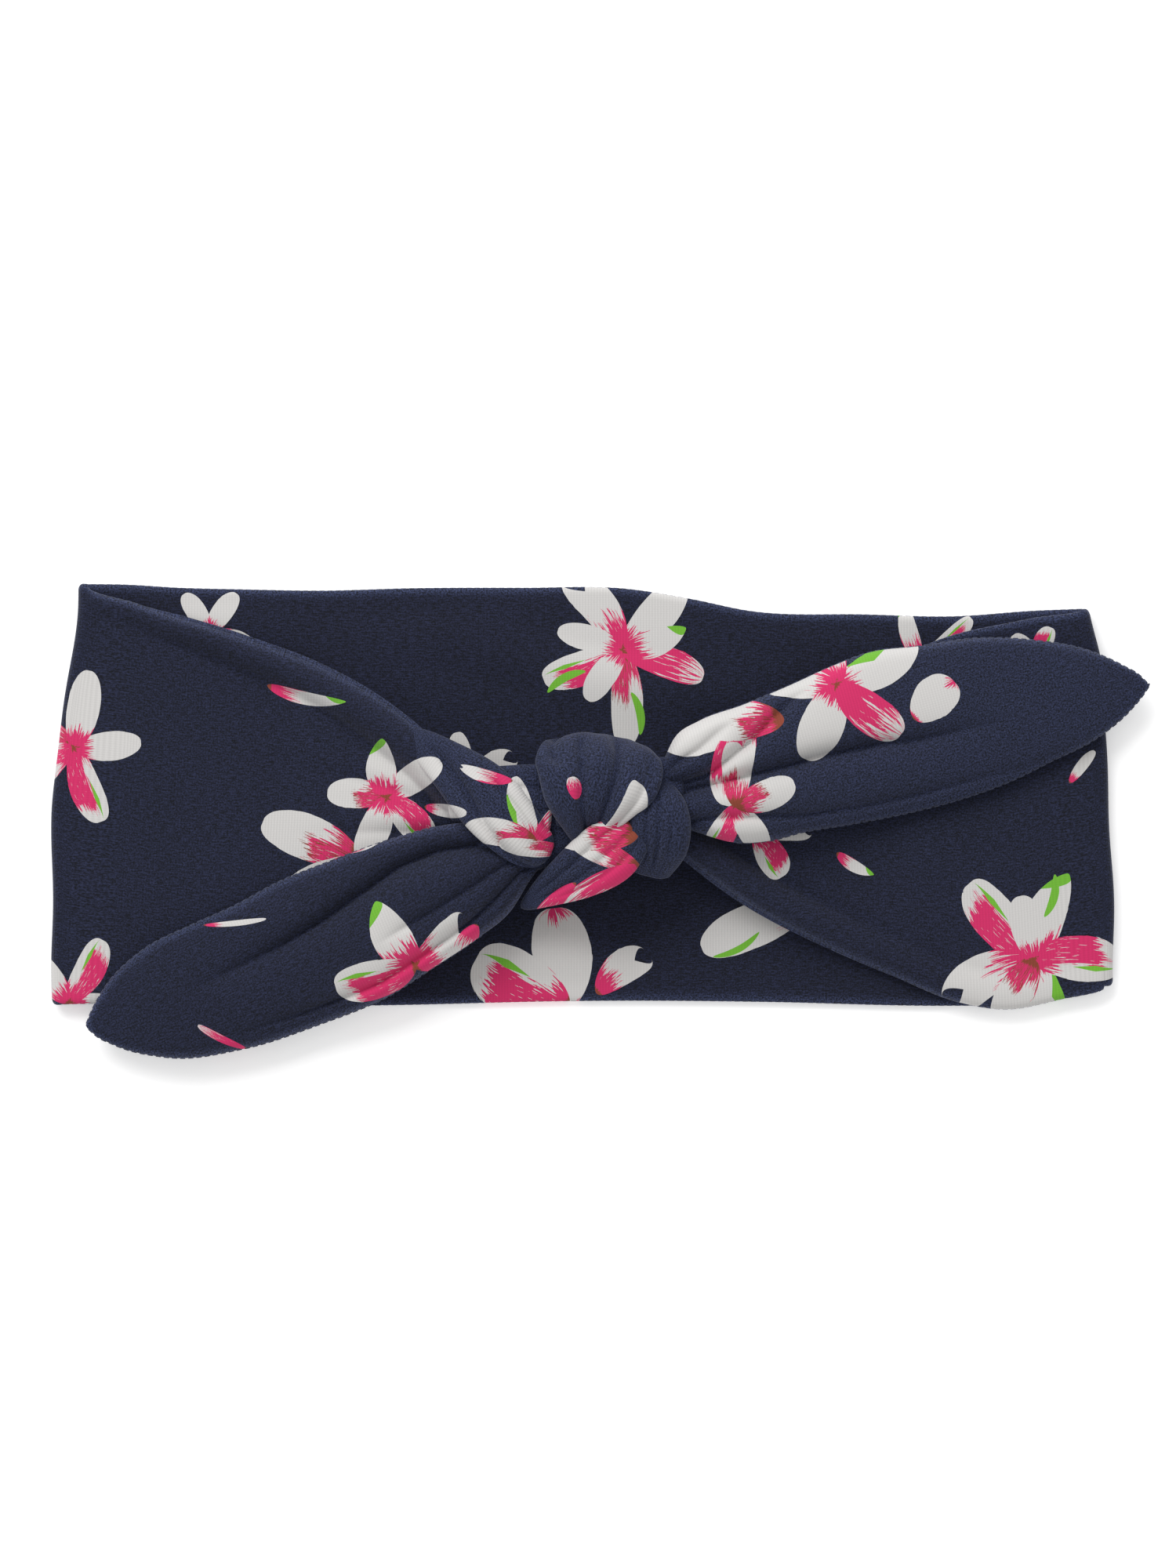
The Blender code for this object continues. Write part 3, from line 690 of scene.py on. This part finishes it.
HUMP_PETALS = [
    (-2.1, -0.8, -3.3, 3.7, -1.5, "pink"),
    (3.5, -8.1, 11.1, 2.5, -2.9, "curled"),
]
TURN_PETALS = [
    (-10.4, -9.5, 1.5, -0.9, 2.6, "notched"),
    (-11.1, -9.2, -15.3, 3.8, -2.6, "edged"),
    (-11.5, -9.7, -25.9, -7.2, 2.9, "brown"),
    (-4.9, -11.6, -18.6, -10.3, -1.9, "brown"),
    (-16.3, 3.0, -26.9, 6.0, 1.4, "pinkish"),
]
TUCK_PETALS = [
    (10.5, -15.3, -6.0, -6.5, -2.8, "brown"),
    (10.5, -15.8, -5.6, -25.5, -3.1, "pink"),
    (9.9, -8.4, -8.6, -7.2, 4.8, "brown"),
    (-2.8, -19.3, -11.8, -28.3, -1.7, "pink"),
]


PURSE = 0.05  # share of a strand's length in which each end closes, like the mouth of a purse
KNOT_NAP_AND_LIGHT = 0.6  # how pale the nap is all over the knot, which is handled most: partly raised fibre, partly painted light on its raised folds


def strand(part, stations, creases, petals, fullness=0.9):
    """A bundle through stations (share of its length, x, y, z, half width, half thickness). A crease is (its
    place across at the start and at the end, from -1 to 1; depth; breadth), on the strand's outer side. Two
    more numbers are the shares of the length between which it runs."""
    name = f"knot_{part}_strand"
    count, around = 90, 96
    t = np.linspace(0, 1, count)
    values = through(stations, t)
    middle, width, thick = values[:, :3], values[:, 3], values[:, 4]
    run = middle[-1] - middle[0]
    level = np.array((-run[1], run[0], 0)) / np.hypot(run[0], run[1])
    ahead = np.gradient(middle, axis=0)
    ahead /= np.linalg.norm(ahead, axis=1)[:, None]
    across = level - ahead * (ahead @ level)[:, None]
    across /= np.linalg.norm(across, axis=1)[:, None]
    out = np.cross(ahead, across)
    from_start, from_end = (np.clip(1 - np.clip(1 - way / PURSE, 0, 1) ** 2, 0, 1) for way in (t, 1 - t))
    close = np.sqrt(from_start) * np.sqrt(from_end)
    turn = np.linspace(0, 2 * math.pi, around, endpoint=False)
    a = np.sign(np.cos(turn)) * np.abs(np.cos(turn)) ** fullness
    b = np.sign(np.sin(turn)) * np.abs(np.sin(turn)) ** fullness
    place = a[None, :] + 0 * t[:, None]
    rise = b[None, :] * thick[:, None]
    top = smooth(-0.1, 0.5, b)[None, :]
    for start, end, deep, broad, *stretch in creases:
        first, last = stretch or (0, 1)
        path = start + (end - start) * t
        off = (place - path[:, None]) * width[:, None]
        along = smooth(first - 0.08, first + 0.12, t) * (1 - smooth(last - 0.12, last + 0.08, t))
        rise = rise - top * deep * along[:, None] * np.exp(-np.abs(off) / broad)
    rise = rise + top * 0.07 * np.sin(place * width[:, None] * 1.3 + 2.0 * np.sin(t * 5)[:, None])
    sideways = (place * (width * close)[:, None])[..., None]
    outwards = (rise * close[:, None])[..., None]
    ring = middle[:, None, :] + across[:, None, :] * sideways + out[:, None, :] * outwards
    mesh = bpy.data.meshes.new(name)
    index = np.arange(count * around).reshape(count, around)
    after = np.roll(index, -1, axis=1)
    faces = np.stack([index[:-1], after[:-1], after[1:], index[1:]], -1).reshape(-1, 4).tolist()
    mesh.from_pydata((ring.reshape(-1, 3) * MM).tolist(), [], faces)
    walked = np.concatenate([[0], np.cumsum(np.linalg.norm(np.diff(middle, axis=0), axis=1))])
    around_by = np.concatenate([[0], np.cumsum(np.linalg.norm(np.diff(ring, axis=1), axis=2).mean(0))])
    flat = np.zeros((count, around, 3))
    flat[..., 0] = walked[:, None]
    flat[..., 1] = np.minimum(around_by, around_by[-1] - around_by)[None, :]
    # the knot's paleness: raised fibre and painted light
    flat[..., 2] = KNOT_NAP_AND_LIGHT
    mesh.attributes.new("cloth", "FLOAT_VECTOR", "POINT").data.foreach_set("vector", flat.ravel())
    print_petals(mesh, petals)
    bm = bmesh.new()
    bm.from_mesh(mesh)
    bmesh.ops.remove_doubles(bm, verts=bm.verts, dist=0.00001)
    bmesh.ops.recalc_face_normals(bm, faces=bm.faces)
    for face in bm.faces:
        face.smooth = True
    surface_area = sum(face.calc_area() for face in bm.faces)
    bm.to_mesh(mesh)
    bm.free()
    mesh.materials.append(jersey)
    piece = bpy.data.objects.new(name, mesh)
    bpy.context.scene.collection.objects.link(piece)
    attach(piece, "front")
    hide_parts(f"knot_{part}")


strand("core", [
    (0.00, 19.0, -4.5, 11.0, 6.5, 2.2),
    (0.28, 8.0, -3.0, 11.3, 8.5, 3.8),
    (0.60, -6.0, -6.0, 11.3, 8.5, 3.8),
    (0.82, -15.0, -10.0, 11.9, 7.3, 2.9),
    (1.00, -22.3, -13.6, 12.0, 6.0, 1.8),
], [(0.1, 0.1, 0.8, 1.2)], [])
strand("right_exit", [
    (0.00, -6.0, 1.5, 15.5, 8.0, 2.0),
    (0.50, 8.0, -1.0, 16.0, 9.5, 2.6),
    (1.00, 20.6, -1.5, 13.5, 9.0, 2.1),
], [(0.0, 0.0, 0.8, 1.2)], [])
strand("left_entry", [
    (0.00, -29.5, -0.5, 10.0, 5.0, 1.6),
    (0.35, -22.0, -0.5, 12.6, 6.3, 2.4),
    (0.65, -15.0, -1.0, 14.6, 7.3, 2.8),
    (1.00, -7.0, -1.5, 15.0, 8.0, 2.2),
], [(-0.4, -0.3, 1.2, 0.9), (0.3, 0.35, 1.2, 0.9)], LEFT_FRONT_PETALS + TURN_PETALS)
strand("wrap", [
    (0.00, 3.4, 10.8, 10.5, 8.6, 2.2),
    (0.18, 3.0, 9.4, 15.4, 12.2, 3.2),
    (0.45, 2.4, 4.0, 19.4, 13.4, 4.2),
    (0.70, 1.0, -2.5, 19.9, 10.0, 3.8),
    (0.88, 0.5, -7.5, 17.8, 5.6, 2.8),
    (1.00, 0.4, -11.0, 15.2, 2.8, 1.6),
], [
    (-0.40, -0.10, 2.9, 1.2, 0.16, 1.0),
    (0.26, 0.30, 3.0, 1.2, 0.10, 1.0),
    (-0.95, -0.30, 2.4, 1.5, 0.02, 0.45),
    (0.02, 0.08, 1.3, 0.8, 0.42, 0.95),
    (0.80, 0.75, 1.6, 1.1, 0.30, 0.9),
], HUMP_PETALS, 0.95)
strand("left_turn", [
    (0.00, -41.0, 13.4, 7.2, 1.8, 0.8),
    (0.14, -35.2, 10.6, 10.2, 3.4, 1.9),
    (0.30, -29.2, 6.2, 12.6, 5.2, 2.7),
    (0.52, -22.6, 0.4, 15.2, 7.0, 3.3),
    (0.74, -17.0, -5.6, 16.5, 6.8, 3.5),
    (0.90, -12.0, -10.4, 16.2, 5.4, 2.8),
    (1.00, -7.5, -12.8, 14.6, 3.4, 1.8),
], [
    (0.35, -0.95, 2.4, 1.2, 0.2, 0.95),
    (0.60, 0.45, 1.6, 1.0, 0.45, 1.0),
    (0.1, 0.0, 1.0, 0.9, 0.55, 1.0),
], LEFT_FRONT_PETALS + TURN_PETALS)
strand("lower_wrap", [
    (0.00, 14.2, 2.2, 15.0, 3.6, 1.8),
    (0.30, 15.4, -3.2, 18.0, 6.0, 2.9),
    (0.65, 15.2, -10.2, 17.0, 6.5, 3.2),
    (1.00, 12.8, -16.9, 11.8, 4.6, 1.8),
], [
    (-0.05, 0.0, 1.7, 0.7, 0.2, 0.85),
    (-0.5, -0.35, 1.2, 0.8, 0.1, 0.8),
    (0.45, 0.3, 0.8, 0.7, 0.35, 0.9),
], [])
strand("tuck", [
    (0.00, 10.5, -7.5, 18.2, 4.6, 2.0),
    (0.30, 5.0, -12.0, 18.6, 6.8, 2.9),
    (0.60, -1.5, -16.4, 16.2, 5.9, 2.7),
    (0.84, -8.5, -20.6, 12.6, 3.5, 2.1),
    (1.00, -14.0, -24.2, 9.8, 0.9, 0.9),
], [
    (-0.1, 0.3, 1.3, 0.8, 0.0, 0.9),
    (-0.6, -0.2, 1.2, 0.8, 0.0, 0.9),
    (0.45, 0.6, 0.8, 0.8, 0.05, 0.8),
], TUCK_PETALS)

# ---------------------------------------------------------------------------------------------------------
# The two tails: leaves of the outer cloth and the lining, seamed along both edges to a point and turned. They
# come out of the knot in deep folds, which flatten out before the tips.

LEFT_TAIL_PETALS = [
    (-36.1, -36.2, -25.1, -26.5, -4.4, "notched"),
    (-36.9, -36.0, -44.8, -22.7, 4.2, "tipped"),
    (-37.1, -36.7, -53.5, -40.9, 4.2, "lobed"),
    (-23.5, -28.1, -27.3, -36.6, -2.2, "pinkish"),
    (-53.5, -11.4, -39.1, -4.5, -2.2, "tipped"),
    (-74.5, -21.2, -77.3, -18.8, -1.4, "plain"),
    (-80.9, -27.8, -68.2, -26.5, -0.6, "plain"),
    (-64.0, -55.9, -77.8, -58.4, 2.3, "notched"),
    (-73.1, -54.0, -82.8, -49.2, 0.8, "pink"),
]
RIGHT_TAIL_PETALS = [
    (53.8, 23.5, 70.5, 32.4, 4.2, "edged"),
    (53.1, 23.8, 46.3, 39.8, -4.5, "plain"),
    (52.7, 23.3, 34.5, 26.0, -4.6, "plain"),
    (53.1, 22.7, 46.5, 7.4, 4.6, "plain"),
    (53.8, 22.9, 67.0, 12.7, -4.2, "pink"),
    (59.6, 29.7, 65.3, 35.5, -0.8, "leaf"),
    (70.1, 16.5, 78.3, 24.0, 4.4, "tail"),
    (33.6, 16.7, 15.4, 11.3, 5.0, "plain"),
    (34.1, 16.3, 29.6, -2.5, -4.4, "lobed"),
    (40.9, 15.8, 23.9, 14.6, 4.3, "brown"),
    (31.2, -2.9, 25.8, -13.0, 2.9, "lobed"),
    (31.8, -2.8, 38.3, -12.0, -2.9, "plain"),
    (32.0, -2.1, 44.1, 2.4, 3.3, "brown"),
    (31.4, -1.8, 30.9, 11.2, 2.9, "brown"),
]
ROOT = 22  # how far a tail reaches back into the knot
TIP_RUN = 8  # before the point, where the columns of the grid stand closer
HIDDEN = 22  # columns inside the knot, which show no stitches
BEND_RUN = 12  # the length of the bend line that tail_ply returns, along a tail from its hinge
TAIL_AIR = 1.55  # under a tail where it lies on the band
TAIL_LEVEL = STACK + TAIL_AIR + PLY + PLY_GAP / 2  # the middle of a tail there
TAIL_SEAM_OUT = 0.05


def tail_ply(name, node, tail, facing):
    """facing is 1 for the face, which is on top, and -1 for the back."""
    length = tail["low"][-1][0]
    near_tip = length - TIP_RUN * (1 - np.linspace(0, 1, 22)) ** 1.6
    s = np.concatenate([np.linspace(-ROOT, length - TIP_RUN, 100)[:-1], near_tip])
    low, high = through(tail["low"], s)[:, 0], through(tail["high"], s)[:, 0]
    low, high = np.minimum(low, high - 0.5), np.maximum(high, low + 0.5)
    t = rows_between(low, high, 64).T
    span = high - low
    w = (t - low) / span
    tip = np.clip(length - s, 0, None)[None, :]
    edge = np.minimum(np.minimum(t - low, high - t), tip + 0 * t)
    level = TAIL_LEVEL + (tail["hinge"][2] - TAIL_LEVEL) * (1 - smooth(0, RISE_RUN, s))
    fall = tail["droop"] * smooth(length * 0.5, length, s)
    lens = np.sqrt(np.clip(4 * w * (1 - w), 0, 1))
    puff = np.interp(s, (-ROOT, 0, 20, 50, length), tail["puff"])
    rise = lens * puff * smooth(0, 16, tip)
    for route, deep, broad in tail["creases"]:
        places = np.array(route)
        line = np.interp(s, places[:, 0], places[:, 1])
        end = places[-1, 0]
        depth = np.interp(s, (-ROOT, 0, 0.55 * end, end), (0.8 * deep, deep, 0.85 * deep, 0))
        rise = rise - depth * np.exp(-np.abs(t - line) / broad)
    if facing < 0:
        rise = 0.22 * rise
    else:
        rise = rise + 0.22 * np.sin(s * 0.22 + 1.2 * np.sin(t * 0.15)) * lens * smooth(4, 16, tip)
    rise = np.maximum(rise, -0.1) * (1 - turned(edge, 2.6))
    z = level - fall + facing * (SEAM_MEET * (1 - turned(edge)) + rise)
    hinge, e_s, e_t = (np.array(tail[k], float) for k in ("hinge", "along", "across"))
    flat = hinge[:2] + s[None, :, None] * e_s + t[..., None] * e_t
    points = np.concatenate([flat, z[..., None]], -1)
    # the third value: worn nap at the edges, and the tail's painted light over the rest
    cloth = np.stack([s[None, :] + 0 * t, t, nap_and_light_level(edge, tail["nap_and_light"])], -1)
    if facing < 0:
        points, cloth = points[::-1], cloth[::-1]
    piece = lay_cloth(name, points, cloth, tail["petals"])
    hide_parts(node)
    bend = [hinge * MM, (hinge + np.array((*e_s, 0)) * BEND_RUN) * MM]
    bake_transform(piece)
    return points, bend


# A tail's edges, low and high, are places along it from the hinge and across it. A crease is its route, its
# depth and its breadth.
TAILS = {
    "left": {
        "body": "left_tail",
        "lies_on": "left_front_outer_cloth",
        "hinge": (-27.5, -15.7, 12.0),
        "along": (-0.917, -0.399),
        "across": (0.399, -0.917),
        "low": [
            (-24, -1.5), (-14, -4.6), (-3.4, -8.9), (10.6, -11.3), (23, -12.1), (36.5, -12.5), (47.1, -11.6),
            (57.2, -11.5), (68.5, -10.8), (79.5, -6.5), (84.2, -2.9), (86.2, -0.9),
        ],
        "high": [
            (-24, 3.2), (-19, 5.5), (-14.2, 7.9), (-6.2, 13.2), (2, 15.4), (13.9, 17.5), (24.7, 19.2),
            (40.2, 18.9), (57.7, 17.1), (73.8, 11.9), (82.7, 5), (85.2, 1.9), (86.2, -0.3),
        ],
        "puff": (3.2, 5.4, 4.7, 3.4, 1.1),
        # painted light: how pale the nap is over the whole tail, with some raised fibre
        "nap_and_light": 0.15,
        "droop": 0.4,
        "creases": [
            ([
                (-12, -1.2), (-8, -2.1), (2, -4.9), (11, -5.2), (21, -3.2), (31, -1.1), (41, 0.2), (50, 0.7),
                (64, 1.3),
            ], 4.8, 1.9),
            ([(-12, 6), (-6, 8.7), (2, 11.6), (13.9, 14), (24.7, 15.8), (40.2, 15.6), (62, 13.4)], 2.6, 1.0),
            ([(-12, 3), (-4, 4.4), (6, 6.0), (22, 8.0)], 2.0, 1.2),
        ],
        "petals": LEFT_TAIL_PETALS,
    },
    "right": {
        "body": "right_tail",
        "lies_on": "right_front_outer_cloth",
        "hinge": (26.0, -1.0, 13.5),
        "along": (0.9645, 0.264),
        "across": (-0.264, 0.9645),
        "low": [
            (-24, -1), (-14, -2), (-8.4, -3.4), (-4.5, -6.0), (2.0, -10.0), (10.2, -12), (17.1, -12.1),
            (29, -13.3), (41.7, -14.2), (50.5, -14.3), (63.8, -13.3), (73, -11.5), (82.3, -9.7), (92.1, -5.4),
            (96.0, -2.6), (97.1, -1.6),
        ],
        "high": [
            (-24, 3), (-14, 6.0), (-7.9, 9.8), (-3.4, 14.7), (2.4, 16.6), (12.1, 17.4), (23, 18.8),
            (33, 20.4), (41.9, 21.1), (51.9, 19.6), (63.7, 18.1), (75.8, 14.4), (87.3, 8.7), (93, 4),
            (96.0, 0.8), (97.1, -1.2),
        ],
        "puff": (3.2, 5.6, 4.9, 3.4, 1.1),
        # painted light: how pale the nap is over the whole tail, with some raised fibre
        "nap_and_light": 0.45,
        "droop": 0.4,
        "creases": [
            ([
                (-12, 2.8), (0.3, 2.8), (19.3, 2.4), (28, 2.3), (38.3, 1.6), (45.7, 0.3), (66, -0.8),
            ], 5.0, 1.9),
            ([(-12, -3), (0, -4), (18, -8.6), (30, -10.1), (43, -10.9), (69, -11.2), (78, -10.6)], 2.2, 1.2),
            ([(-12, 4.5), (1, 5.0), (12, 9.6), (22, 15.5), (28, 17.5)], 3.6, 1.4),
            ([(-12, 7), (0, 10.5), (10, 15)], 2.0, 1.2),
        ],
        "petals": RIGHT_TAIL_PETALS,
    },
}
for name, tail in TAILS.items():
    face, bend = tail_ply(f"{name}_tail_face_cloth", f"{name}_tail_face", tail, 1)
    tail_ply(f"{name}_tail_back_cloth", f"{name}_tail_back", tail, -1)
    seam = stitch(
        f"{name}_tail_edge_stitches",
        [edge_route(face, -1, TAIL_SEAM_OUT)[HIDDEN:], edge_route(face, 0, -TAIL_SEAM_OUT)[HIDDEN:]],
        [f"{name}_tail_seam"],
    )
    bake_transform(seam)
bpy.data.objects.remove(one_stitch)

# ---------------------------------------------------------------------------------------------------------
# The floor is a pale studio sweep. One wide softbox stands over the band's upper left, and the white room
# fills the shadows.

bpy.ops.object.select_all(action="DESELECT")
bpy.ops.mesh.primitive_plane_add(size=4, location=(0, 0, -0.0005))
floor = bpy.context.active_object
floor.name = "floor"
paper = bpy.data.materials.new("matt white studio paper")
paper.use_nodes = True
tree = paper.node_tree
pulp = add("TexNoise", add("TexCoord", out=3), None, 260.0, 3.0, 0.6)
sheet_tone = add("ValToRGB", pulp)
sheet_tone.node.color_ramp.elements[0].color = linear("#F7F7F7")
sheet_tone.node.color_ramp.elements[1].color = linear("#FCFCFC")
surface = tree.nodes["Principled BSDF"]
tree.links.new(sheet_tone, surface.inputs["Base Color"])
surface.inputs["Roughness"].default_value = 0.9
surface.inputs["Emission Color"].default_value = (1, 1, 1, 1)
surface.inputs["Emission Strength"].default_value = 0.30
surface.inputs["Specular IOR Level"].default_value = 0.2
floor.data.materials.append(paper)

world = bpy.data.worlds.new("white room")
bpy.context.scene.world = world
world.use_nodes = True
world.node_tree.nodes["Background"].inputs["Color"].default_value = (1, 1, 1, 1)
world.node_tree.nodes["Background"].inputs["Strength"].default_value = 0.66

softbox_data = bpy.data.lights.new("softbox", "AREA")
softbox_data.shape = "RECTANGLE"
softbox_data.size, softbox_data.size_y = 0.9, 0.6
softbox_data.energy = 9.0
softbox = bpy.data.objects.new("softbox", softbox_data)
bpy.context.scene.collection.objects.link(softbox)
softbox.location = (-0.35, 0.75, 0.75)
softbox.rotation_euler = (-softbox.location).to_track_quat("-Z", "Y").to_euler()
